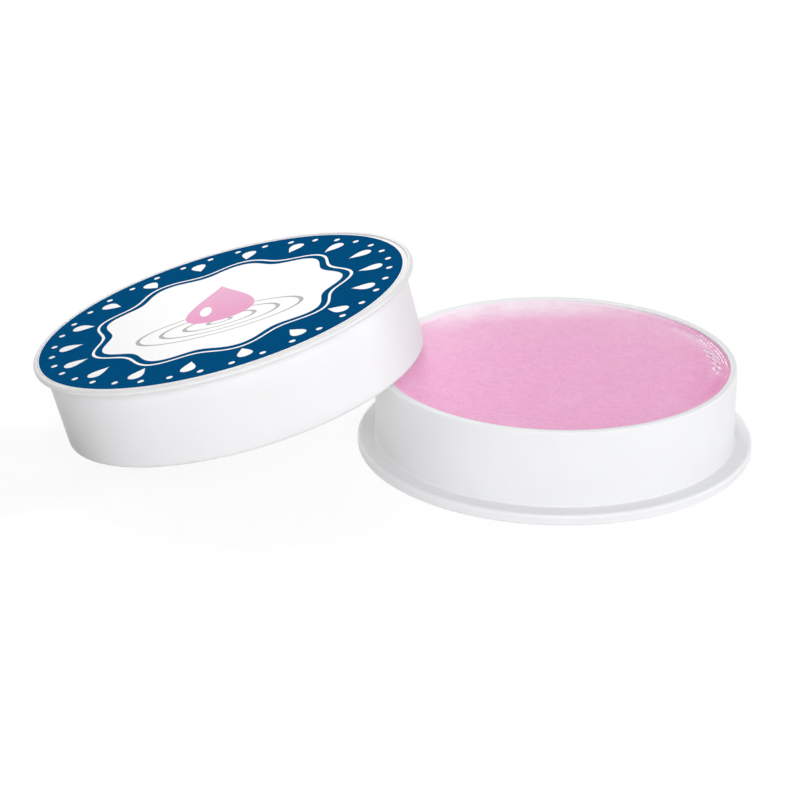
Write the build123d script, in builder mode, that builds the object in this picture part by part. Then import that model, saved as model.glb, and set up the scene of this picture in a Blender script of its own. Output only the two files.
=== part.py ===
from build123d import *
import os
from math import asin, cos, radians, sin, sqrt, tan

os.makedirs("parts", exist_ok=True)


def rings_of(part, radius):
    """The part's round edges of one radius."""
    circles = part.edges().filter_by(GeomType.CIRCLE)
    return circles.filter_by(lambda edge: abs(edge.radius - radius) < 0.001)


def fitting(bevel, wall):
    """The bevel, or the largest that leaves a flat on a wall bevelled on both sides."""
    return min(bevel, 0.45 * wall)


# A pocket tub of finger moistener, standing open, with its lid taken off and leaning on the rim.
# All sizes are millimetres. The tub stands on Z = 0 about the Z axis and the lid lies towards -X.

# Tub: a shallow moulded cup on a foot flange
tub_height = 9.9
rim_radius = 20.2  # outside of the wall, at the rim
rim_wall = 0.75  # wall at the rim, thickening downwards by the draft
rim_bevel = 0.15
foot_overhang = 1.98  # the flange beyond the wall, all round
foot_thickness = 1.25
foot_bevel = 0.3
floor_thickness = 1.2
floor_bevel = 0.7  # inside corner between wall and floor
draft = radians(0.5)  # every moulded wall leans by this much
stand_ring_width = 4.3  # ring that touches the table, round a shallow recess
base_recess_depth = 0.35
base_recess_taper = 30  # degrees, of the recess's wall
gate_well_radius = 2.6  # well that keeps the moulding gate's stub off the table
gate_well_depth = 0.22
gate_stub_radius = 0.65
gate_stub_height = 0.3

# Moistening compound: poured into the tub, set, and creeping up the wall in a meniscus
fill_drop = 0.52  # rim to the level surface
meniscus_width = 1.3
meniscus_rise = 0.26
pour_gap = 0.04  # left as the compound shrinks from the wall

# Lid: a deep cap that slides over the tub's wall and seats on its flange
skirt_clearance = 0.1  # all round, between skirt and wall
seat_gap = 0.05  # rim to the inside of the top, when the lid is on
skirt_wall = 0.62  # at the mouth
mouth_bevel = 0.2
mouth_lead_in = 0.2
panel_thickness = 0.85  # top, under the label
ceiling_bevel = 0.4
label_recess = 0.14
lip_width = 0.5  # raised lip round the label's recess
grip_overhang = 1.1  # the top flange beyond the skirt, for a fingernail
grip_thickness = 0.7
grip_bevel = 0.22

# Label: an adhesive disc, set a little off centre
label_thickness = 0.1
label_margin = 0.25  # recess wall to label, when centred
label_shift = 0.2  # towards the lid's low side

# Lean of the lid: its heel is on the table, its mouth on the tub's rim
bearing_angle = radians(27.5)  # round the mouth, from its high point to where it bears on the rim
lean_clearance = 0.12

# Tub, worked out
slope = tan(draft)
wall_rise = tub_height - foot_thickness
wall_foot_radius = rim_radius + wall_rise * slope
foot_radius = wall_foot_radius + foot_overhang
cup_rim_radius = rim_radius - rim_wall
cup_depth = tub_height - floor_thickness
cup_floor_radius = cup_rim_radius - cup_depth * slope
rim_break = fitting(rim_bevel, rim_wall)
base_recess_radius = foot_radius - stand_ring_width
gate_well_roof = base_recess_depth + gate_well_depth

with BuildPart() as tub:
    with BuildSketch(Plane.XZ):
        with BuildLine():
            Polyline(
                (0, 0),
                (foot_radius, 0),
                (foot_radius, foot_thickness),
                (wall_foot_radius, foot_thickness),
                (rim_radius, tub_height),
                (cup_rim_radius, tub_height),
                (cup_floor_radius, floor_thickness),
                (0, floor_thickness),
                close=True,
            )
        make_face()
    revolve(axis=Axis.Z)
    chamfer(rings_of(tub.part, rim_radius), rim_break)
    chamfer(rings_of(tub.part, cup_rim_radius), rim_break)
    chamfer(rings_of(tub.part, cup_floor_radius), floor_bevel)
    chamfer(rings_of(tub.part, foot_radius), fitting(foot_bevel, foot_thickness))

    # Underside: the recess that leaves a ring to stand on, then the gate's well and stub.
    with BuildSketch(Plane.XY):
        Circle(base_recess_radius)
    extrude(amount=base_recess_depth, taper=base_recess_taper, mode=Mode.SUBTRACT)
    with BuildSketch(Plane.XY.offset(base_recess_depth)):
        Circle(gate_well_radius)
    extrude(amount=gate_well_depth, mode=Mode.SUBTRACT)
    with BuildSketch(Plane.XY.offset(gate_well_roof)):
        Circle(gate_stub_radius)
    extrude(amount=-gate_stub_height)
tub.part.label = "tub"
export_step(tub.part, "parts/tub.step")

# Compound, worked out
fill_level = tub_height - fill_drop
creep_level = fill_level + meniscus_rise
cake_floor_radius = cup_floor_radius - pour_gap
cake_edge_radius = cake_floor_radius + (creep_level - floor_thickness) * slope

with BuildPart() as moistening_compound:
    with BuildSketch(Plane.XZ):
        with BuildLine():
            bottom = Line((0, floor_thickness), (cake_floor_radius, floor_thickness))
            side = Line(bottom @ 1, (cake_edge_radius, creep_level))
            level = Line((0, fill_level), (cake_edge_radius - meniscus_width, fill_level))
            TangentArc(level @ 1, side @ 1, tangent=(1, 0))
            Line(level @ 0, bottom @ 0)
        make_face()
    revolve(axis=Axis.Z)
    chamfer(rings_of(moistening_compound.part, cake_floor_radius), floor_bevel)
moistening_compound.part.label = "moistening_compound"
export_step(moistening_compound.part, "parts/moistening_compound.step")

# Lid, worked out: the inside of the skirt keeps its clearance from the wall all the way up
skirt_depth = wall_rise + seat_gap
mouth_radius = wall_foot_radius + skirt_clearance
ceiling_radius = mouth_radius - skirt_depth * slope
lid_height = skirt_depth + panel_thickness + label_recess
grip_level = lid_height - grip_thickness
mouth_outer_radius = mouth_radius + skirt_wall
skirt_top_radius = mouth_outer_radius + grip_level * slope
grip_radius = skirt_top_radius + grip_overhang
label_seat_radius = grip_radius - lip_width
heel_break = fitting(mouth_bevel, skirt_wall)
mouth_break = fitting(mouth_lead_in, skirt_wall)

# The lid stands on the heel of its mouth, and its mouth crosses the rim at two bearing points.
heel_radius = mouth_outer_radius - heel_break
mouth_bearing_radius = mouth_radius + mouth_break
rim_bearing_radius = rim_radius - rim_break
bearing_reach = mouth_bearing_radius * cos(bearing_angle)
bearing_side = mouth_bearing_radius * sin(bearing_angle)
tilt = asin((tub_height + lean_clearance) / (heel_radius + bearing_reach))
lean_distance = sqrt(rim_bearing_radius**2 - bearing_side**2) + bearing_reach * cos(tilt)
lid_base = Plane(
    origin=(-lean_distance, 0, heel_radius * sin(tilt)),
    x_dir=(cos(tilt), 0, sin(tilt)),
    z_dir=(-sin(tilt), 0, cos(tilt)),
)
lid_section = Plane(origin=lid_base.origin, x_dir=lid_base.x_dir, z_dir=-lid_base.y_dir)
lid_axis = Axis(lid_base.origin, lid_base.z_dir)

with BuildPart() as lid:
    with BuildSketch(lid_section):
        with BuildLine():
            Polyline(
                (mouth_radius, 0),
                (mouth_outer_radius, 0),
                (skirt_top_radius, grip_level),
                (grip_radius, grip_level),
                (grip_radius, lid_height),
                (label_seat_radius, lid_height),
                (label_seat_radius, lid_height - label_recess),
                (0, lid_height - label_recess),
                (0, skirt_depth),
                (ceiling_radius, skirt_depth),
                close=True,
            )
        make_face()
    revolve(axis=lid_axis)
    chamfer(rings_of(lid.part, mouth_outer_radius), heel_break)
    chamfer(rings_of(lid.part, mouth_radius), mouth_break)
    chamfer(rings_of(lid.part, ceiling_radius), ceiling_bevel)
    chamfer(rings_of(lid.part, grip_radius), fitting(grip_bevel, min(grip_thickness, lip_width * 2)))
lid.part.label = "lid"
export_step(lid.part, "parts/lid.step")

label_radius = label_seat_radius - label_margin
label_seat = lid_base.offset(lid_height - label_recess)

with BuildPart() as lid_label:
    with BuildSketch(label_seat):
        with Locations((-label_shift, 0)):
            Circle(label_radius)
    extrude(amount=label_thickness)
lid_label.part.label = "lid_label"
export_step(lid_label.part, "parts/lid_label.step")
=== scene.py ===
import bpy
import numpy as np
from mathutils import Matrix, Vector


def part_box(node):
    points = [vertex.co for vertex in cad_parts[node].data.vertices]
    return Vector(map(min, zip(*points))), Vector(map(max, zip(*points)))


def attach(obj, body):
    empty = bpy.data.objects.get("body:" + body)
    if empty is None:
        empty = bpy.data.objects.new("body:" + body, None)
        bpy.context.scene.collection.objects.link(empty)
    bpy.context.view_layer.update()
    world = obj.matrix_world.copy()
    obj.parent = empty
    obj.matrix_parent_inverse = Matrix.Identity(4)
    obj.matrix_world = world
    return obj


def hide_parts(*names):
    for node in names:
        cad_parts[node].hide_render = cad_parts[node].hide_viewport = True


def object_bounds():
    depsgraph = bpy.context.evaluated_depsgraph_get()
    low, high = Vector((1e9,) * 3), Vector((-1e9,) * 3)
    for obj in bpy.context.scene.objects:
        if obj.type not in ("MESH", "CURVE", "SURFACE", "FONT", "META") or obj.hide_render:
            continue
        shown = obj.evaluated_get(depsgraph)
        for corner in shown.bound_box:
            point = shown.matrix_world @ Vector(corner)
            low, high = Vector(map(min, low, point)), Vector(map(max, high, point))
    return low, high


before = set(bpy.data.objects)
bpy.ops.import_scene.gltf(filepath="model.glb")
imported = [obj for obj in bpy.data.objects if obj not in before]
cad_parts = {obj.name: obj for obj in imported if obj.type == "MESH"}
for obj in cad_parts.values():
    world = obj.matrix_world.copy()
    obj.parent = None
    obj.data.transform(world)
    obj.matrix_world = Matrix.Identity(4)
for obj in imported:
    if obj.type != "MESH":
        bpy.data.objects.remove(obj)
cadLow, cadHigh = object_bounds()
mm = 0.001  # piece sizes are millimetres, the scene is metres
scene = bpy.context.scene
print("frame loaded:", ", ".join(sorted(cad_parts)))


def nodePoints(name):  # a solid's points, in millimetres
    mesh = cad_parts[name].data
    flat = np.empty(len(mesh.vertices) * 3)
    mesh.vertices.foreach_get("co", flat)
    return flat.reshape(-1, 3) / mm


# Corners (radius, height, rounding) become straight runs joined by arcs. An arc moves along its incoming
# run by rounding * sin(angle) and sideways by rounding * (1 - cos(angle)). One more point stands on each
# run just beside its arc, so that the flats shade flat. The mask is 1 on the arcs.
def roundedProfile(corners, arcSteps=7, beside=0.12, besideMost=0.3):
    corner = np.array(corners, float)[:, :2]
    rounding = np.array(corners, float)[1:-1, 2]
    run = np.diff(corner, axis=0)
    length = np.linalg.norm(run, axis=1)
    run = run / length[:, None]
    along, after = run[:-1], run[1:]
    turn = np.arctan2(along[:, 0] * after[:, 1] - along[:, 1] * after[:, 0], (along * after).sum(1))
    setBack = rounding * np.tan(np.abs(turn) / 2)
    spare = length.copy()  # what the arcs leave of each run
    spare[1:] -= setBack
    spare[:-1] -= setBack
    step = np.minimum(beside, besideMost * spare)
    angle = np.abs(turn)[:, None] * np.linspace(0, 1, arcSteps)
    side = np.sign(turn)[:, None] * np.stack([-along[:, 1], along[:, 0]], 1)
    start = corner[1:-1] - along * setBack[:, None]
    arc = start[:, None] + rounding[:, None, None] * (
        np.sin(angle)[..., None] * along[:, None] + (1 - np.cos(angle))[..., None] * side[:, None])
    first = start - along * step[:-1, None]
    last = corner[1:-1] + after * (setBack + step[1:])[:, None]
    body = np.concatenate([first[:, None], arc, last[:, None]], 1).reshape(-1, 2)
    mask = np.tile(np.r_[0, np.ones(arcSteps), 0], len(rounding))
    return np.vstack([corner[:1], body, corner[-1:]]), np.r_[0, mask, 0]


# Rings of points, each closed on itself, and a pole at either end: a quad between neighbouring points of
# neighbouring rings, and a fan of triangles round each pole.
def closedSurface(name, rings, firstPole, lastPole, masks):
    count, around = rings.shape[:2]
    points = np.concatenate([rings.reshape(-1, 3), [firstPole, lastPole]]) * mm
    index = np.arange(count * around).reshape(count, around)
    onward = np.roll(index, -1, axis=1)
    quads = np.stack([index[:-1], onward[:-1], onward[1:], index[1:]], -1).reshape(-1, 4)
    pole = np.full(around, count * around)
    fans = np.concatenate([
        np.stack([onward[0], index[0], pole], -1), np.stack([index[-1], onward[-1], pole + 1], -1)])
    mesh = bpy.data.meshes.new(name)
    mesh.from_pydata(points.tolist(), [], quads.tolist() + fans.tolist())
    mesh.polygons.foreach_set("use_smooth", np.ones(len(mesh.polygons), bool))
    for key, values in masks.items():
        layer = mesh.attributes.new(key, "FLOAT", "POINT")
        layer.data.foreach_set("value", np.asarray(values, np.float32).ravel())
    mesh.update()
    piece = bpy.data.objects.new(name, mesh)
    scene.collection.objects.link(piece)
    print(f"{name}: {2 * len(quads) + len(fans)} triangles")
    return piece


# A profile turned about an axis: radius * cos(turn), radius * sin(turn), height, set in the piece's axes.
def lathe(name, corners, around, axes, centre):
    profile, mask = roundedProfile(corners)
    turns = np.arange(around) * 2 * np.pi / around
    radius, height = profile[1:-1, :1], profile[1:-1, 1:]
    rings = np.stack([radius * np.cos(turns), radius * np.sin(turns), height + 0 * turns], -1)
    poles = np.array([[0, 0, profile[0, 1]], [0, 0, profile[-1, 1]]])
    handled = np.r_[np.repeat(mask[1:-1], around), 0, 0]
    return closedSurface(name, centre + rings @ axes, *(centre + poles @ axes), {"handled": handled})


def smoothStep(value, low, high):  # 0 up to low, 1 from high
    share = np.clip((value - low) / (high - low), 0, 1)
    return share * share * (3 - 2 * share)


def fadedSpan(value, low, high, fades):  # 1 between low and high, less within the fade at each end
    return smoothStep(value, low, low + fades[0]) * (1 - smoothStep(value, high - fades[1], high))


def nearTurn(degrees, middle, core, end):  # 1 within core degrees of the middle, 0 from end
    return 1 - smoothStep(np.abs((degrees - middle + 180) % 360 - 180), core, end)


def put(tree, kind, values=None, **settings):  # a new node with its inputs linked or set
    made = tree.nodes.new(kind)
    for key, value in settings.items():
        setattr(made, key, value)
    for key, value in (values or {}).items():
        if isinstance(value, bpy.types.NodeSocket):
            tree.links.new(value, made.inputs[key])
        else:
            made.inputs[key].default_value = value
    return made


def calc(tree, operation, *terms):
    return put(tree, "ShaderNodeMath", dict(enumerate(terms)), operation=operation).outputs[0]


def ramp(tree, value, low, high, toLow=0.0, toHigh=1.0):  # clamped straight ramp
    terms = {"Value": value, "From Min": low, "From Max": high, "To Min": toLow, "To Max": toHigh}
    return put(tree, "ShaderNodeMapRange", terms).outputs["Result"]


def tint(tree, share, first, second):
    return put(tree, "ShaderNodeMix", {0: share, 6: first, 7: second}, data_type="RGBA").outputs[2]


def cloud(tree, where, size, detail=3.0, roughness=0.55):  # noise with features of this size, in mm
    terms = {"Vector": where, "Scale": 1 / size, "Detail": detail, "Roughness": roughness}
    return put(tree, "ShaderNodeTexNoise", terms).outputs["Fac"]


def newGroup(name, inputs, outputs):
    tree = bpy.data.node_groups.new(name, "ShaderNodeTree")
    for key, kind in inputs.items():
        tree.interface.new_socket(key, in_out="INPUT", socket_type="NodeSocket" + kind)
    for key, kind in outputs.items():
        tree.interface.new_socket(key, in_out="OUTPUT", socket_type="NodeSocket" + kind)
    return tree, tree.nodes.new("NodeGroupInput").outputs, tree.nodes.new("NodeGroupOutput").inputs


def useGroup(tree, group, values):
    return put(tree, "ShaderNodeGroup", values, node_tree=group).outputs


def newMaterial(name):
    material = bpy.data.materials.new(name)
    material.use_nodes = True
    tree = material.node_tree
    return material, tree, tree.nodes["Principled BSDF"]


def inMillimetres(tree):
    seen = put(tree, "ShaderNodeTexCoord").outputs["Object"]
    return put(tree, "ShaderNodeMapping", {"Vector": seen, "Scale": (1 / mm,) * 3}).outputs[0]


def readMask(tree, key):
    return put(tree, "ShaderNodeAttribute", attribute_name=key).outputs["Fac"]


# Moulded white plastic, shared by tub and lid: soft clouding, rounded edges in patches of another colour, and
# the fine grain and slow waviness of the mould's steel. On the lid that colour is darker, edges rubbed by
# hands; on the tub it is lighter, a painted highlight on its rims and rounds. A noise is its size and detail,
# and steps are the ends of its ramp.
moulding = {
    "cloudNoise": (9.0, 3.0), "cloudSteps": (0.35, 0.68), "cloudDull": 0.07,
    "edgeNoise": (2.4, 3.0), "edgeSteps": (0.3, 0.65), "edgeLeast": 0.6,
    "grainNoise": (0.16, 2.0), "waveNoise": (3.2, 1.0), "waveShare": 1.8, "reliefDepth": 0.01,
    "ior": 1.49, "glowReach": (1.0, 0.95, 0.9)}

mouldedSurface, given, result = newGroup(
    "mouldedSurface",
    {"Vector": "Vector", "Rounded Edge": "Float", "Plain": "Color", "Clouded": "Color", "Edge Wear And Sheen": "Color",
     "Satin": "Float", "Burnish": "Float"},
    {"Color": "Color", "Roughness": "Float", "Height": "Float"})
cloudNoise = cloud(mouldedSurface, given["Vector"], *moulding["cloudNoise"])
clouding = ramp(mouldedSurface, cloudNoise, *moulding["cloudSteps"])
edgeNoise = cloud(mouldedSurface, given["Vector"], *moulding["edgeNoise"])
edgePatches = ramp(mouldedSurface, edgeNoise, *moulding["edgeSteps"], moulding["edgeLeast"], 1.0)
edgeMask = calc(mouldedSurface, "MULTIPLY", given["Rounded Edge"], edgePatches)
plastic = tint(mouldedSurface, clouding, given["Plain"], given["Clouded"])
# the rounded edges' colour: on the tub a lighter one, a painted highlight, and on the lid a darker worn tone
mouldedSurface.links.new(tint(mouldedSurface, edgeMask, plastic, given["Edge Wear And Sheen"]), result["Color"])
dullness = calc(mouldedSurface, "MULTIPLY_ADD", clouding, moulding["cloudDull"], given["Satin"])
burnished = calc(mouldedSurface, "MULTIPLY", edgeMask, given["Burnish"])
mouldedSurface.links.new(calc(mouldedSurface, "SUBTRACT", dullness, burnished), result["Roughness"])
steelGrain = cloud(mouldedSurface, given["Vector"], *moulding["grainNoise"])
steelWave = cloud(mouldedSurface, given["Vector"], *moulding["waveNoise"])
steel = calc(mouldedSurface, "MULTIPLY_ADD", steelWave, moulding["waveShare"], steelGrain)
mouldedSurface.links.new(steel, result["Height"])


# satin is the plain surface's roughness, and burnish is what is taken off it on the rounded edges, in patches
def mouldedPlastic(name, look):
    material, tree, shader = newMaterial(name)
    finish = useGroup(tree, mouldedSurface, {
        "Vector": inMillimetres(tree), "Rounded Edge": readMask(tree, "handled"),
        "Plain": look["plain"], "Clouded": look["clouded"], "Edge Wear And Sheen": look["edgeWearAndSheen"],
        "Satin": look["satin"], "Burnish": look["burnish"]})
    relief = put(tree, "ShaderNodeBump", {
        "Height": finish["Height"], "Strength": look["relief"], "Distance": moulding["reliefDepth"] * mm})
    tree.links.new(finish["Color"], shader.inputs["Base Color"])
    tree.links.new(finish["Roughness"], shader.inputs["Roughness"])
    tree.links.new(relief.outputs[0], shader.inputs["Normal"])
    shader.inputs["IOR"].default_value = moulding["ior"]
    shader.inputs["Subsurface Weight"].default_value = look["glow"]
    shader.inputs["Subsurface Radius"].default_value = moulding["glowReach"]
    shader.inputs["Subsurface Scale"].default_value = look["glowDepth"] * mm
    return material


tub = {
    "rimRadius": 20.2, "cupRimRadius": 19.45, "wallFootRadius": 20.2755, "cupFloorRadius": 19.374,
    "footThickness": 1.25, "floor": 1.2, "standRadius": 17.9555, "recessRadius": 17.7534, "recess": 0.35,
    "wellRadius": 2.6, "wellRoof": 0.57, "stubRadius": 0.65, "stubFoot": 0.27,
    "edgeRound": 0.3, "rimRound": 0.18, "footCorner": 0.14, "cupCorner": 0.7, "recessCorner": 0.12,
    "smallRound": 0.07, "around": 288,
    # the tub's rounded edges are lighter than the plain plastic: a painted highlight
    "plain": (0.87, 0.87, 0.885, 1), "clouded": (0.85, 0.85, 0.86, 1), "edgeWearAndSheen": (0.89, 0.89, 0.9, 1),
    "satin": 0.36, "burnish": 0.05, "relief": 0.25, "glow": 0.1, "glowDepth": 0.7}

tubLow, tubHigh = (np.array(corner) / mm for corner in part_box("tub"))
footRadius, tubHeight = tubHigh[0], tubHigh[2]
tubCorners = [
    (0, tub["stubFoot"], 0),
    (tub["stubRadius"], tub["stubFoot"], tub["smallRound"]),
    (tub["stubRadius"], tub["wellRoof"], tub["smallRound"]),
    (tub["wellRadius"], tub["wellRoof"], tub["smallRound"]),
    (tub["wellRadius"], tub["recess"], tub["smallRound"]),
    (tub["recessRadius"], tub["recess"], tub["recessCorner"]),
    (tub["standRadius"], tubLow[2], tub["smallRound"]),
    (footRadius, tubLow[2], tub["edgeRound"]),
    (footRadius, tub["footThickness"], tub["edgeRound"]),
    (tub["wallFootRadius"], tub["footThickness"], tub["footCorner"]),
    (tub["rimRadius"], tubHeight, tub["rimRound"]),
    (tub["cupRimRadius"], tubHeight, tub["rimRound"]),
    (tub["cupFloorRadius"], tub["floor"], tub["cupCorner"]),
    (0, tub["floor"], 0)]
tubShell = lathe("tubShell", tubCorners, tub["around"], np.eye(3), np.zeros(3))
tubShell.data.materials.append(mouldedPlastic("tubPlastic", tub))
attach(tubShell, "tub")
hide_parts("tub")


lid = {
    "ceiling": 8.7, "ceilingRadius": 20.2996, "mouthRadius": 20.3755, "mouthOuter": 20.9955,
    "skirtTopRadius": 21.074, "gripThickness": 0.7, "gripRadius": 22.174, "seatRadius": 21.674,
    "recess": 0.14, "gripRound": 0.27, "heelRound": 0.24, "mouthRound": 0.22, "underGrip": 0.22,
    "ceilingCorner": 0.4, "lipRound": 0.08, "seatCorner": 0.04, "around": 288,
    "plain": (0.87, 0.87, 0.885, 1), "clouded": (0.855, 0.85, 0.855, 1), "edgeWearAndSheen": (0.79, 0.783, 0.78, 1),
    "satin": 0.35, "burnish": -0.06, "relief": 0.25, "glow": 0.1, "glowDepth": 0.7}

# the lid's own axes: its label lies square to them, and its mouth is their floor
labelPoints = nodePoints("lid_label")
upAxis = np.linalg.svd(labelPoints - labelPoints.mean(0), full_matrices=False)[2][2]
upAxis = upAxis * np.sign(upAxis[2])
sideAxis = np.array([0.0, 1.0, 0.0])
lidAxes = np.stack([np.cross(sideAxis, upAxis), sideAxis, upAxis])
lidLocal = nodePoints("lid") @ lidAxes.T
lidLow, lidHigh = lidLocal.min(0), lidLocal.max(0)
lidHeight = lidHigh[2] - lidLow[2]
mouthCentre = np.array([*((lidLow + lidHigh)[:2] / 2), lidLow[2]]) @ lidAxes
gripLevel = lidHeight - lid["gripThickness"]
seatLevel = lidHeight - lid["recess"]
lidCorners = [
    (0, lid["ceiling"], 0),
    (lid["ceilingRadius"], lid["ceiling"], lid["ceilingCorner"]),
    (lid["mouthRadius"], 0, lid["mouthRound"]),
    (lid["mouthOuter"], 0, lid["heelRound"]),
    (lid["skirtTopRadius"], gripLevel, lid["underGrip"]),
    (lid["gripRadius"], gripLevel, lid["gripRound"]),
    (lid["gripRadius"], lidHeight, lid["gripRound"]),
    (lid["seatRadius"], lidHeight, lid["lipRound"]),
    (lid["seatRadius"], seatLevel, lid["seatCorner"]),
    (0, seatLevel, 0)]
lidShell = lathe("lidShell", lidCorners, lid["around"], lidAxes, mouthCentre)
lidShell.data.materials.append(mouldedPlastic("lidPlastic", lid))
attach(lidShell, "lid")
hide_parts("lid")
print("lid mouth centre", mouthCentre.round(3), "lean", np.degrees(np.arccos(upAxis[2])).round(3))


compound = {
    "level": 9.38, "edgeLevel": 9.64, "floor": 1.2, "floorRadius": 19.37, "edgeRadius": 19.444,
    "floorCorner": 0.7, "sideDrop": 0.1, "meniscusWidth": 1.3,
    # grid of the top: fine near the wall and along the ridges
    "fineFrom": -16, "fineTo": 60, "fineTurns": 320, "coarseTurns": 240,
    "edgeRings": 80, "middleRings": 36, "edgeShare": 0.88, "innerRing": 0.25,
    # slow swell: height, where it is full, and rates and phases of its two waves
    "swell": 0.028, "swellFull": 2.5, "swellRates": (0.46, 0.39), "swellPhases": (0.9, -0.5),
    "crossRates": (0.92, -0.71), "crossPhase": 1.7, "crossShare": 0.5,
    # pale film that crept up the wall at the back, by degrees round the tub, and the waves of its edge
    "filmMiddle": 107, "filmCore": 12, "filmEnd": 66, "filmStart": 0.3, "filmReach": 6.4,
    "filmWaves": [(1.0, 3.1, 2.2), (0.5, 7.3, 1.9)], "creep": 0.12, "creepWidth": 0.35,
    # the film's thick edge, at the wall itself
    "edgeFilmMiddle": 112, "edgeFilmCore": 30, "edgeFilmEnd": 86, "edgeFilm": 1.25,
    "edgeFilmStart": 0.1, "edgeFilmReach": 1.1,
    # faint haze that thins out towards the middle, all along the back
    "hazeMiddle": 100, "hazeCore": 40, "hazeEnd": 100, "hazeReach": 15.0, "haze": 0.17,
    # deeper colour along the wall at the right, broad and narrow; between the ridges the deeper colour is
    # painted shade
    "deepMiddle": -4, "deepCore": 9, "deepEnd": 40, "deepStart": 0.3, "deepReach": 6.0, "deepBroad": 0.4,
    "deepBandCore": 1.02, "deepBand": 1.7, "deepNarrow": 0.32, "valleyReach": 0.3, "valleyShade": 0.4,
    # wet ridges along the wall: radius, height, width, from and to in degrees, wander
    "ridges": [(19.13, 0.024, 0.08, 0, 34, 0.02), (18.84, 0.028, 0.085, 1, 43, 0.025),
               (18.55, 0.030, 0.09, 3, 49, 0.03), (18.26, 0.030, 0.095, 8, 50, 0.05),
               (17.98, 0.028, 0.11, 18, 54, 0.07)],
    "ridgeFades": (7, 9), "wanderWaves": [(1.0, 9, 1.3), (0.6, 23, 2.1)],
    "dashMean": 0.68, "dashDepth": 0.32, "dashWaves": [(31, 2.7), (13, 1.0)],
    # beads of wet compound among the ridges: from and to in degrees, inner and outer radius, fades of these
    "beadsFrom": -6, "beadsTo": 26, "beadTurnFades": (7, 10),
    "beadsInner": 17.3, "beadsOuter": 18.6, "beadRadiusFades": (0.5, 0.4),
    "beadHeight": 0.2, "beadPitch": 0.5, "beadPitchSpread": 0.4, "beadPhase": 6, "beadStretch": 0.4,
    "beadLeast": 0.07, "beadTrains": 7, "beadSeed": 11,
    # crests and beads painted paler, painted highlights of their wet glints, with a pale haze under them
    "crestHighlight": 0.95, "beadHighlight": 2.8, "crestMost": 0.95,
    "rippleMiddle": 22, "rippleCore": 10, "rippleEnd": 28,
    "rippleRadius": 18.15, "rippleWidth": 0.45, "rippleHaze": 0.4,
    # painted shade: greyer troughs beside the outer ridges and among the beads
    "troughMiddle": 21, "troughCore": 15, "troughEnd": 29, "troughRidges": 3, "troughAside": 0.145,
    "troughWidth": 0.8, "beadTrough": 0.85, "beadTroughSteps": (0.12, 0.36), "troughShade": 0.95,
    # the wet place, by degrees, radius and distance from the wall
    "wetMiddle": 20, "wetCore": 20, "wetEnd": 34, "wetRadii": (16.8, 17.8), "wetWall": (0.1, 0.5),
    "pink": (0.908, 0.426, 0.678, 1), "warm": (0.943, 0.486, 0.722, 1), "pale": (0.965, 0.795, 0.885, 1),
    "deep": (0.76, 0.165, 0.43, 1), "speck": (0.56, 0.09, 0.30, 1), "shadeMauve": (0.38, 0.13, 0.26, 1),
    "neutral": (0.68, 0.66, 0.67, 1), "calmed": 0.85,
    # noises: size, detail and roughness
    "blotchNoise": (3.6, 5.0, 0.68), "blotchSteps": (0.32, 0.68),
    "streakNoise": (0.75, 3.0, 0.6), "streakSteps": (0.3, 0.72), "streak": 0.19,
    "grainNoise": (0.24, 2.0), "grainSteps": (0.3, 0.7), "grain": 0.27,
    "patchNoise": (1.7, 4.0, 0.6), "patchSteps": (0.34, 0.62), "patchLeast": 0.7, "deepLeast": 0.56,
    "skinNoise": (1.3, 2.0), "skinShare": 3.0, "poreNoise": (0.32, 2.0), "relief": 0.4, "reliefDepth": 0.02,
    "waxy": (0.37, 0.48), "wetGloss": 0.18, "wetCoat": 0.35, "wetCoatGloss": 0.06, "ior": 1.46,
    "glow": 0.15, "glowDepth": 0.8, "glowReach": (1.0, 0.5, 0.7)}

# Side and floor are a rounded profile. The top is a polar grid whose height is the level, a parabola up the
# wall, a thin creeping film at the back, a slow swell, and narrow wandering ridges and beads at the right.
fineTurns = np.linspace(compound["fineFrom"], compound["fineTo"], compound["fineTurns"], endpoint=False)
coarseTurns = np.linspace(
    compound["fineTo"], compound["fineFrom"] + 360, compound["coarseTurns"], endpoint=False)
degree = np.concatenate([fineTurns, coarseTurns])
turn = np.radians(degree)
split = compound["edgeShare"] * compound["edgeRadius"]
topRadius = np.concatenate([
    np.linspace(compound["edgeRadius"], split, compound["edgeRings"]),
    np.linspace(split, compound["innerRing"], compound["middleRings"] + 1)[1:]])[:, None]
fromWall = compound["edgeRadius"] - topRadius
topX, topY = topRadius * np.cos(turn), topRadius * np.sin(turn)


def stretch(kind):  # 1 along one stretch of the wall, 0 elsewhere
    return nearTurn(degree, compound[kind + "Middle"], compound[kind + "Core"], compound[kind + "End"])


filmArc = stretch("film")
edgeWaves = sum(size * np.sin(rate * turn + phase) for size, rate, phase in compound["filmWaves"])
filmEdge = compound["filmReach"] + edgeWaves
film = filmArc * (1 - smoothStep(fromWall, compound["filmStart"], filmEdge))
edgeFilm = 1 - smoothStep(fromWall, compound["edgeFilmStart"], compound["edgeFilmReach"])
film = np.maximum(film, compound["edgeFilm"] * stretch("edgeFilm") * edgeFilm)
haze = 1 - smoothStep(fromWall, 0, compound["hazeReach"])
film = np.maximum(film, compound["haze"] * stretch("haze") * haze)
broad = 1 - smoothStep(fromWall, compound["deepStart"], compound["deepReach"])
narrow = 1 - smoothStep(fromWall, compound["deepBandCore"], compound["deepBand"])
deep = stretch("deep") * (compound["deepBroad"] * broad + compound["deepNarrow"] * narrow)

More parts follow.
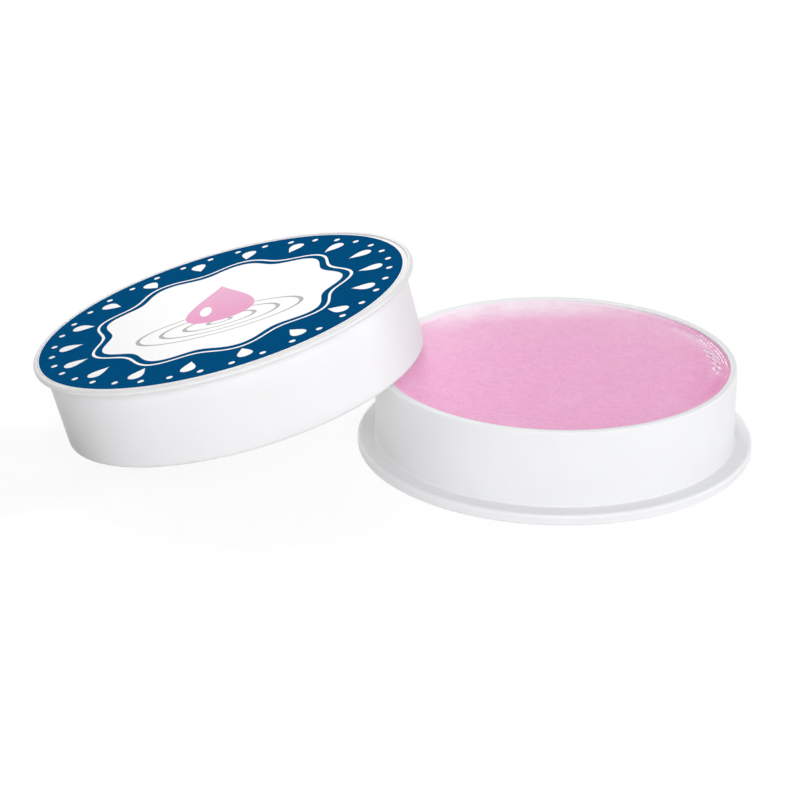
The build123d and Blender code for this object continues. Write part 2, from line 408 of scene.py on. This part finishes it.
rise = compound["edgeLevel"] - compound["level"]
height = compound["level"] + rise * np.clip(1 - fromWall / compound["meniscusWidth"], 0, 1) ** 2
height = height + compound["creep"] * filmArc * np.exp(-fromWall / compound["creepWidth"])
rateX, rateY = compound["swellRates"]
phaseX, phaseY = compound["swellPhases"]
crossX, crossY = compound["crossRates"]
swell = np.sin(rateX * topX + phaseX) * np.cos(rateY * topY + phaseY)
swell = swell + compound["crossShare"] * np.sin(crossX * topX + crossY * topY + compound["crossPhase"])
height = height + compound["swell"] * smoothStep(fromWall, 0, compound["swellFull"]) * swell

# ridges: a bell across a path that wanders by two sine waves, broken into dashes by the product of two more
ridgeTable = np.array(compound["ridges"]).T[:, :, None, None]
ridgeRadius, ridgeHeight, ridgeWidth, ridgeFrom, ridgeTo, wander = ridgeTable
number = np.arange(len(compound["ridges"]))[:, None, None]
sway = sum(share * np.sin(rate * turn + shift * number) for share, rate, shift in compound["wanderWaves"])
ridgePath = ridgeRadius + wander * sway
beat = np.prod([np.sin(rate * turn + shift * number) for rate, shift in compound["dashWaves"]], axis=0)
dashes = compound["dashMean"] + compound["dashDepth"] * beat
reach = fadedSpan(degree, ridgeFrom, ridgeTo, compound["ridgeFades"])
ridges = ridgeHeight * reach * dashes * np.exp(-((topRadius - ridgePath) / ridgeWidth) ** 2)
height = height + ridges.sum(0)
crest = np.clip((ridges / ridgeHeight).sum(0), 0, 1)
innermost = ridgeRadius.min()
valley = reach.max(0) * smoothStep(topRadius, innermost - compound["valleyReach"], innermost) * (1 - crest)

# beads: crossing wave trains, drawn out along the wall and kept where they add up
waves = np.random.default_rng(compound["beadSeed"]).uniform(-1, 1, (compound["beadTrains"], 3))
heading = np.pi * waves[:, 0, None, None]
phase = compound["beadPhase"] * waves[:, 1, None, None]
pitch = compound["beadPitch"] * (1 + compound["beadPitchSpread"] * waves[:, 2, None, None])
swept = compound["beadStretch"] * topRadius * turn * np.cos(heading) + topRadius * np.sin(heading)
trains = np.sin(2 * np.pi / pitch * swept + phase).mean(0)
beadPlace = fadedSpan(degree, compound["beadsFrom"], compound["beadsTo"], compound["beadTurnFades"])
beadPlace = beadPlace * fadedSpan(
    topRadius, compound["beadsInner"], compound["beadsOuter"], compound["beadRadiusFades"])
beads = beadPlace * np.clip(trains - compound["beadLeast"], 0, 1)
height = height + compound["beadHeight"] * beads

# the crests and beads take the pale film colour: painted highlights of their glints
crestHighlight = compound["crestHighlight"] * crest ** 2 + compound["beadHighlight"] * beads
film = np.maximum(film, np.clip(crestHighlight, 0, compound["crestMost"]))
rippleBand = np.exp(-((topRadius - compound["rippleRadius"]) / compound["rippleWidth"]) ** 2)
film = np.maximum(film, compound["rippleHaze"] * stretch("ripple") * rippleBand)
# between the ridges the deeper colour is painted shade
deep = np.maximum(deep, compound["valleyShade"] * valley)
# painted shade beside the outer ridges and in the hollows among the beads
aside = topRadius - ridgePath - compound["troughAside"]
besides = reach * dashes * np.exp(-(aside / (compound["troughWidth"] * ridgeWidth)) ** 2)
beadTrough = compound["beadTrough"] * beadPlace * smoothStep(-trains, *compound["beadTroughSteps"])
trough = stretch("trough") * np.clip(besides[:compound["troughRidges"]].max(0) + beadTrough, 0, 1)
wet = stretch("wet") * smoothStep(topRadius, *compound["wetRadii"])
wet = wet * smoothStep(fromWall, *compound["wetWall"])

sideCorners = [
    (0, compound["floor"], 0), (compound["floorRadius"], compound["floor"], compound["floorCorner"]),
    (compound["edgeRadius"], compound["edgeLevel"] - compound["sideDrop"], 0)]
side = roundedProfile(sideCorners)[0][1:]
sideRings = np.stack([side[:, :1] * np.cos(turn), side[:, :1] * np.sin(turn), side[:, 1:] + 0 * turn], -1)
topRings = np.stack([topX, topY, height], -1)
sideMask = np.zeros(sideRings.shape[:2])
# film also holds painted highlights on crests and beads, deep painted shade between the ridges, trough painted
# shade
topMasks = {"film": film, "wet": wet, "deep": deep, "trough": trough}
compoundMasks = {
    key: np.r_[np.concatenate([sideMask, mask]).ravel(), 0, 0] for key, mask in topMasks.items()}
compoundCake = closedSurface(
    "compoundCake", np.concatenate([sideRings, topRings]), (0, 0, compound["floor"]),
    (0, 0, height[-1].mean()), compoundMasks)

# pink with blotches, streaks and a fine grain of soap: deeper along the wall and, as painted shade, between
# the ridges; pale with film and, as painted highlights, on crests and beads; a painted mauve shade in the
# troughs
compoundMaterial, tree, shader = newMaterial("pinkCompound")
where = inMillimetres(tree)
blotch = ramp(tree, cloud(tree, where, *compound["blotchNoise"]), *compound["blotchSteps"])
streak = ramp(tree, cloud(tree, where, *compound["streakNoise"]), *compound["streakSteps"])
grain = ramp(tree, cloud(tree, where, *compound["grainNoise"]), *compound["grainSteps"])
streakShare = calc(tree, "MULTIPLY", streak, compound["streak"])
mottle = calc(tree, "MULTIPLY_ADD", grain, compound["grain"], streakShare)
flesh = tint(tree, mottle, tint(tree, blotch, compound["pink"], compound["warm"]), compound["speck"])
deepPatches = ramp(tree, streak, 0.0, 1.0, compound["deepLeast"], 1.0)
deepShare = calc(tree, "MULTIPLY", readMask(tree, "deep"), deepPatches)
flesh = tint(tree, deepShare, flesh, compound["deep"])
patchNoise = cloud(tree, where, *compound["patchNoise"])
patches = ramp(tree, patchNoise, *compound["patchSteps"], compound["patchLeast"], 1.0)
# the film colour also paints the highlights on the crests and beads
filmShare = calc(tree, "MULTIPLY", readMask(tree, "film"), patches)
flesh = tint(tree, filmShare, flesh, compound["pale"])
# the mauve over the troughs is painted shade
troughShadeShare = calc(tree, "MULTIPLY", readMask(tree, "trough"), compound["troughShade"])
flesh = tint(tree, troughShadeShare, flesh, compound["shadeMauve"])
# light that it throws on its neighbours is calmer than its own colour
rays = put(tree, "ShaderNodeLightPath").outputs
thrown = calc(tree, "MULTIPLY", rays["Is Diffuse Ray"], compound["calmed"])
tree.links.new(tint(tree, thrown, flesh, compound["neutral"]), shader.inputs["Base Color"])
wetShare = readMask(tree, "wet")
dryGloss = ramp(tree, blotch, 0.0, 1.0, *compound["waxy"])
gloss = put(tree, "ShaderNodeMix", {0: wetShare, 2: dryGloss, 3: compound["wetGloss"]}, data_type="FLOAT")
tree.links.new(gloss.outputs[0], shader.inputs["Roughness"])
tree.links.new(calc(tree, "MULTIPLY", wetShare, compound["wetCoat"]), shader.inputs["Coat Weight"])
pores = cloud(tree, where, *compound["poreNoise"])
skin = calc(tree, "MULTIPLY_ADD", cloud(tree, where, *compound["skinNoise"]), compound["skinShare"], pores)
relief = put(tree, "ShaderNodeBump", {
    "Height": skin, "Strength": compound["relief"], "Distance": compound["reliefDepth"] * mm})
tree.links.new(relief.outputs[0], shader.inputs["Normal"])
shader.inputs["IOR"].default_value = compound["ior"]
shader.inputs["Coat Roughness"].default_value = compound["wetCoatGloss"]
shader.inputs["Subsurface Weight"].default_value = compound["glow"]
shader.inputs["Subsurface Radius"].default_value = compound["glowReach"]
shader.inputs["Subsurface Scale"].default_value = compound["glowDepth"] * mm
compoundCake.data.materials.append(compoundMaterial)
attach(compoundCake, "tub")
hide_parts("moistening_compound")


label = {
    "thickness": 0.1, "footRound": 0.01, "edgeRound": 0.03, "around": 288, "turn": 9.0, "soft": 0.05,
    "blueOuter": 21.29, "bandInner": 13.5, "lobes": 9, "lobeDepth": 0.8, "lineOut": 1.05, "lineWidth": 0.34,
    "drops": 18, "dropRadius": 17.5, "dropHalfLength": 1.45, "dropHalfWidth": 1.28, "dropTaper": 0.8,
    "dots": 36, "dotRing": 19.75, "dotRadius": 0.36,
    "bigDropY": 1.9, "bigDropHalfLength": 6.2, "bigDropHalfWidth": 5.85, "dropShade": (-0.9, 0.9),
    "shineX": -1.7, "shineY": -2.0, "shineNarrow": 2.3, "shineRadius": 1.6,
    "poolY": -4.6, "poolFlat": 0.42, "poolGap": 2.7, "poolLine": 0.5, "poolReach": 10.6,
    "paper": (0.96, 0.96, 0.96, 1), "blue": (0.0012, 0.089, 0.245, 1), "blueThin": (0.002, 0.098, 0.26, 1),
    "pink": (0.92, 0.29, 0.57, 1), "pinkPale": (0.95, 0.44, 0.69, 1), "grey": (0.42, 0.40, 0.42, 1),
    "spreadNoise": (0.9, 4.0), "spreadSteps": (0.35, 0.7), "spreadDull": 0.4, "paperDull": 0.62,
    "inkDull": 0.5, "fibreNoise": (0.14, 2.0), "fibre": 0.6, "inkRise": 0.25, "relief": 0.3,
    "reliefDepth": 0.01, "film": 0.8, "filmGloss": 0.3, "filmCovered": 0.5}

labelLocal = labelPoints @ lidAxes.T
labelMiddle = (labelLocal.min(0) + labelLocal.max(0)) / 2
labelRadius = np.hypot(*(labelLocal - labelMiddle)[:, :2].T).max()
labelFoot = np.array([*labelMiddle[:2], labelLocal[:, 2].min()]) @ lidAxes
labelCorners = [
    (0, 0, 0), (labelRadius, 0, label["footRound"]),
    (labelRadius, label["thickness"], label["edgeRound"]), (0, label["thickness"], 0)]
labelDisc = lathe("labelDisc", labelCorners, label["around"], lidAxes, labelFoot)

# a drop, round at one end and pointed at the other: with v from -1 to 1 along its length, its half width is
# sqrt(1 - v * v) * ((1 - v) / 2) to the power of its taper
dropMark, given, result = newGroup(
    "dropMark", {"Across": "Float", "Along": "Float", "Half Length": "Float", "Half Width": "Float"},
    {"Mask": "Float"})
along = calc(dropMark, "DIVIDE", given["Along"], given["Half Length"])
along = calc(dropMark, "MINIMUM", calc(dropMark, "MAXIMUM", along, -1.0), 1.0)
bulge = calc(dropMark, "SQRT", calc(dropMark, "SUBTRACT", 1.0, calc(dropMark, "MULTIPLY", along, along)))
toPoint = calc(dropMark, "MULTIPLY", calc(dropMark, "SUBTRACT", 1.0, along), 0.5)
taper = calc(dropMark, "POWER", toPoint, label["dropTaper"])
halfWidth = calc(dropMark, "MULTIPLY", calc(dropMark, "MULTIPLY", bulge, taper), given["Half Width"])
inside = calc(dropMark, "SUBTRACT", halfWidth, calc(dropMark, "ABSOLUTE", given["Across"]))
dropMark.links.new(ramp(dropMark, inside, 0.0, label["soft"]), result["Mask"])

labelMaterial, tree, shader = newMaterial("printedLabel")
printTurn = np.radians(label["turn"])
turnCos, turnSin = np.cos(printTurn), np.sin(printTurn)
printAxes = np.array([[turnCos, turnSin, 0], [-turnSin, turnCos, 0], [0, 0, 1]]) @ lidAxes
onLabel = put(tree, "ShaderNodeTexCoord").outputs["Object"]
flat = put(tree, "ShaderNodeMapping", {
    "Vector": onLabel, "Location": Vector(labelFoot * mm), "Scale": (mm,) * 3,
    "Rotation": Matrix(printAxes.T.tolist()).to_euler()}, vector_type="TEXTURE").outputs[0]
spot = put(tree, "ShaderNodeSeparateXYZ", {0: flat}).outputs
across, up = spot["X"], spot["Y"]
soft = label["soft"]


def span(first, second):  # length of a step of first across and second up
    squares = [calc(tree, "MULTIPLY", term, term) for term in (first, second)]
    return calc(tree, "SQRT", calc(tree, "ADD", *squares))


def within(value, limit):  # 1 where the value is under the limit
    return ramp(tree, calc(tree, "SUBTRACT", limit, value), -soft / 2, soft / 2)


radius = span(across, up)
angle = calc(tree, "ARCTAN2", up, across)


def repeatRound(count, shift):  # distance along the ring from the nearest of count marks
    sector = calc(tree, "FRACT", calc(tree, "MULTIPLY_ADD", angle, count / (2 * np.pi), shift))
    arc = calc(tree, "MULTIPLY", calc(tree, "SUBTRACT", sector, 0.5), 2 * np.pi / count)
    return calc(tree, "MULTIPLY", arc, radius)


# a blue band with a wavy inner edge and a white line along it, a ring of white drops and one of dots
lobe = calc(tree, "COSINE", calc(tree, "MULTIPLY", angle, float(label["lobes"])))
inner = calc(tree, "MULTIPLY_ADD", lobe, label["lobeDepth"], label["bandInner"])
intoBand = calc(tree, "SUBTRACT", radius, inner)
band = calc(tree, "MULTIPLY", ramp(tree, intoBand, -soft / 2, soft / 2), within(radius, label["blueOuter"]))
fromLine = calc(tree, "SUBTRACT", intoBand, label["lineOut"])
line = within(calc(tree, "ABSOLUTE", fromLine), label["lineWidth"] / 2)
drops = useGroup(tree, dropMark, {
    "Across": repeatRound(label["drops"], 0.5),
    "Along": calc(tree, "SUBTRACT", label["dropRadius"], radius),
    "Half Length": label["dropHalfLength"], "Half Width": label["dropHalfWidth"]})["Mask"]
dotAway = span(repeatRound(label["dots"], 0.0), calc(tree, "SUBTRACT", radius, label["dotRing"]))
dots = within(dotAway, label["dotRadius"])
marks = calc(tree, "MAXIMUM", calc(tree, "MAXIMUM", line, drops), dots)
ink = calc(tree, "MULTIPLY", band, calc(tree, "SUBTRACT", 1.0, marks))

# in the white middle, a pink drop with a shine on it over the rings that it makes in a pool
bigUp = calc(tree, "SUBTRACT", up, label["bigDropY"])
bigDrop = useGroup(tree, dropMark, {
    "Across": across, "Along": bigUp, "Half Length": label["bigDropHalfLength"],
    "Half Width": label["bigDropHalfWidth"]})["Mask"]
shineAcross = calc(tree, "MULTIPLY", calc(tree, "SUBTRACT", across, label["shineX"]), label["shineNarrow"])
shineUp = calc(tree, "SUBTRACT", bigUp, label["shineY"])
shineSpot = within(span(shineAcross, shineUp), label["shineRadius"])
pool = span(across, calc(tree, "DIVIDE", calc(tree, "SUBTRACT", up, label["poolY"]), label["poolFlat"]))
poolWave = calc(tree, "SUBTRACT", calc(tree, "FRACT", calc(tree, "DIVIDE", pool, label["poolGap"])), 0.5)
fromRing = calc(tree, "MULTIPLY", calc(tree, "ABSOLUTE", poolWave), label["poolGap"])
poolLine = within(fromRing, label["poolLine"] / 2)
poolRings = calc(tree, "MULTIPLY", poolLine, within(pool, label["poolReach"]))

# ink on paper under a clear film, which shows most where the paper is bare
millimetres = inMillimetres(tree)
spread = ramp(tree, cloud(tree, millimetres, *label["spreadNoise"]), *label["spreadSteps"])
blue = tint(tree, spread, label["blue"], label["blueThin"])
sheet = tint(tree, ink, label["paper"], blue)
sheet = tint(tree, poolRings, sheet, label["grey"])
dropShade = ramp(tree, calc(tree, "DIVIDE", bigUp, label["bigDropHalfLength"]), *label["dropShade"])
sheet = tint(tree, bigDrop, sheet, tint(tree, dropShade, label["pink"], label["pinkPale"]))
sheet = tint(tree, shineSpot, sheet, label["paper"])
tree.links.new(sheet, shader.inputs["Base Color"])
printed = calc(tree, "MAXIMUM", calc(tree, "MAXIMUM", ink, bigDrop), poolRings)
printed = calc(tree, "MULTIPLY", printed, calc(tree, "SUBTRACT", 1.0, shineSpot))
coverage = calc(tree, "MULTIPLY_ADD", spread, label["spreadDull"], printed)
sheetDull = ramp(tree, coverage, 0.0, 1.0 + label["spreadDull"], label["paperDull"], label["inkDull"])
tree.links.new(sheetDull, shader.inputs["Roughness"])
fibreNoise = cloud(tree, millimetres, *label["fibreNoise"])
inkRise = calc(tree, "MULTIPLY", printed, label["inkRise"])
fibre = calc(tree, "MULTIPLY_ADD", fibreNoise, label["fibre"], inkRise)
relief = put(tree, "ShaderNodeBump", {
    "Height": fibre, "Strength": label["relief"], "Distance": label["reliefDepth"] * mm})
tree.links.new(relief.outputs[0], shader.inputs["Normal"])
covered = calc(tree, "MAXIMUM", ink, calc(tree, "MULTIPLY", printed, label["filmCovered"]))
filmLeft = calc(tree, "MULTIPLY_ADD", covered, -label["film"], label["film"])
tree.links.new(filmLeft, shader.inputs["Coat Weight"])
shader.inputs["Coat Roughness"].default_value = label["filmGloss"]
shader.inputs["Specular IOR Level"].default_value = 0.0  # the film alone shines
labelDisc.data.materials.append(labelMaterial)
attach(labelDisc, "lid")
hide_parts("lid_label")


studio = {
    "floorReach": 1.2, "floorDrop": 0.01, "floorPaint": (0.92, 0.92, 0.92, 1), "floorShown": 0.8,
    "floorWhite": 1.07, "shadowReach": 0.12, "shadowEnd": 0.3,
    # a dark flag by the lid's low side keeps bounced light off it, and looks like the rest of the floor
    "flagPaint": (0.04, 0.04, 0.04, 1), "flagShown": 0.9, "flagPlace": (-0.0595, -0.0145, 0),
    "flagCore": 0.004, "flagEnd": 0.0135,
    "leftAir": (0.2, 0.192, 0.184, 1), "rightAir": (0.40, 0.40, 0.407, 1), "airSteps": (-0.9, -0.2),
    # lamps round the object: turn and rise in degrees, distance, width and height in metres, watts, tint
    "lamps": {
        "keySoftbox": (11, 24, 0.6, 0.42, 0.42, 2.06, (0.97, 0.98, 0.99)),
        "sideSoftbox": (100, 4, 0.6, 0.3, 0.07, 0.74, (0.97, 0.98, 0.99)),
        "backSoftbox": (201, 57, 0.6, 0.15, 0.15, 0.94, (1.0, 1.0, 1.0)),
        "compoundSoftbox": (155, 55, 0.6, 0.2, 0.2, 1.28, (1.0, 1.0, 1.0)),
        "backCard": (198, 16, 0.6, 0.17, 0.17, 0.227, (1.0, 1.0, 1.0)),
        "glintStrip": (192, 30, 0.5, 0.03, 0.12, 0.068, (1.0, 1.0, 1.0))},
    # a small fill under the leaning lid: place and aim in millimetres, width and height, watts, tint
    "fillPlace": (-44, 13, 5.0), "fillAim": (-20, -4, 3.0), "fillSize": (0.016, 0.006), "fillPower": 0.0014,
    "fillTint": (1.0, 0.96, 0.9)}


def outward(turn, rise):  # unit vector from the object, turn 0 to the front and 90 to the right
    turned, raised = np.radians((turn, rise))
    return Vector((np.sin(turned) * np.cos(raised), -np.cos(turned) * np.cos(raised), np.sin(raised)))


def rayShown(tree):  # 1 for rays from the camera, a gloss or a clear piece
    rays = put(tree, "ShaderNodeLightPath").outputs
    seen = calc(tree, "MAXIMUM", rays["Is Camera Ray"], rays["Is Glossy Ray"])
    return calc(tree, "MAXIMUM", seen, rays["Is Transmission Ray"])


# The floor takes the shadow near the object and is plain white further off, and clear from below.
floorMesh = bpy.data.meshes.new("floor")
floorCorner = studio["floorReach"] * np.array([(-1, -1, 0), (1, -1, 0), (1, 1, 0), (-1, 1, 0)], float)
floorCorner[:, 2] = cadLow.z - studio["floorDrop"] * mm
floorMesh.from_pydata(floorCorner.tolist(), [], [(0, 1, 2, 3)])
floor = bpy.data.objects.new("floor", floorMesh)
scene.collection.objects.link(floor)
floorMaterial, tree, shader = newMaterial("paperFloor")
tree.nodes.remove(shader)
onFloor = put(tree, "ShaderNodeTexCoord").outputs["Object"]
toFlag = put(tree, "ShaderNodeVectorMath", {0: onFloor, 1: studio["flagPlace"]}, operation="DISTANCE")
onFlag = ramp(tree, toFlag.outputs["Value"], studio["flagEnd"], studio["flagCore"])
paintColour = tint(tree, onFlag, studio["floorPaint"], studio["flagPaint"])
paint = put(tree, "ShaderNodeBsdfDiffuse", {"Color": paintColour}).outputs[0]
white = put(tree, "ShaderNodeEmission", {"Strength": studio["floorWhite"]}).outputs[0]
fromMiddle = put(tree, "ShaderNodeVectorMath", {0: onFloor}, operation="LENGTH").outputs["Value"]
shownNear = ramp(tree, onFlag, 0.0, 1.0, studio["floorShown"], studio["flagShown"])
plainShare = ramp(tree, fromMiddle, studio["shadowReach"], studio["shadowEnd"], shownNear, 1.0)
shown = calc(tree, "MULTIPLY", rayShown(tree), plainShare)
front = put(tree, "ShaderNodeMixShader", {0: shown, 1: paint, 2: white}).outputs[0]
below = put(tree, "ShaderNodeNewGeometry").outputs["Backfacing"]
clear = put(tree, "ShaderNodeBsdfTransparent").outputs[0]
twoSided = put(tree, "ShaderNodeMixShader", {0: below, 1: front, 2: clear}).outputs[0]
tree.links.new(twoSided, tree.nodes["Material Output"].inputs["Surface"])
floorMesh.materials.append(floorMaterial)

world = bpy.data.worlds.new("studioAir")
world.use_nodes = True
scene.world = world
tree = world.node_tree
tree.nodes.clear()
skyWay = put(tree, "ShaderNodeTexCoord").outputs["Generated"]
skyX = put(tree, "ShaderNodeSeparateXYZ", {0: skyWay}).outputs["X"]
sky = tint(tree, ramp(tree, skyX, *studio["airSteps"]), studio["leftAir"], studio["rightAir"])
air = put(tree, "ShaderNodeBackground", {"Color": sky, "Strength": 1.0}).outputs[0]
plainWhite = put(tree, "ShaderNodeBackground", {"Color": (1, 1, 1, 1), "Strength": 1.0}).outputs[0]
backdrop = put(tree, "ShaderNodeMixShader", {0: rayShown(tree), 1: air, 2: plainWhite}).outputs[0]
put(tree, "ShaderNodeOutputWorld", {"Surface": backdrop})


def areaLamp(name, place, aim, width, tall, power, colour):
    lamp = bpy.data.lights.new(name, "AREA")
    lamp.shape = "RECTANGLE"
    lamp.size = width
    lamp.size_y = tall
    lamp.energy = power
    lamp.color = colour
    stand = bpy.data.objects.new(name, lamp)
    stand.location = place
    stand.rotation_euler = (place - aim).to_track_quat("Z", "Y").to_euler()
    stand.visible_camera = False
    scene.collection.objects.link(stand)
    return stand


middle = (cadLow + cadHigh) / 2
stands = {}
for lampName, (lampTurn, lampRise, away, width, tall, power, colour) in studio["lamps"].items():
    place = middle + outward(lampTurn, lampRise) * away
    stands[lampName] = areaLamp(lampName, place, middle, width, tall, power, colour)


def linked(name, pieces, state):  # pieces that a lamp's light or shade takes in or leaves out
    group = bpy.data.collections.new(name)
    for piece in pieces:
        group.objects.link(piece)
    for entry in group.collection_objects:
        entry.light_linking.link_state = state
    return group


# tub and lid look as if photographed one by one, so the compound has a back lamp that passes the lid by
ownLamp = stands["compoundSoftbox"]
stands["backSoftbox"].light_linking.receiver_collection = linked("offCompound", [compoundCake], "EXCLUDE")
ownLamp.light_linking.receiver_collection = linked("onCompound", [compoundCake], "INCLUDE")
ownLamp.light_linking.blocker_collection = linked("passedBy", [lidShell, labelDisc], "EXCLUDE")
ownLamp.visible_glossy = False  # the glints are the strip's
areaLamp("lidFill", Vector(studio["fillPlace"]) * mm, Vector(studio["fillAim"]) * mm, *studio["fillSize"],
         studio["fillPower"], studio["fillTint"])

photoView = {
    "turn": 6.064, "rise": 22.988, "lens": 108.0, "sensor": 36.0, "nearClip": 0.01,
    "aim": (-17.57, 0.0, 4.21), "away": 273.0}
lens = bpy.data.cameras.new("photoCamera")
lens.lens = photoView["lens"]
lens.sensor_width = photoView["sensor"]
lens.clip_start = photoView["nearClip"]
camera = bpy.data.objects.new("photoCamera", lens)
toCamera = outward(photoView["turn"], photoView["rise"])
camera.location = (Vector(photoView["aim"]) + toCamera * photoView["away"]) * mm
camera.rotation_euler = toCamera.to_track_quat("Z", "Y").to_euler()
scene.collection.objects.link(camera)
scene.camera = camera
scene.view_settings.view_transform = "Standard"
print("studio ready")
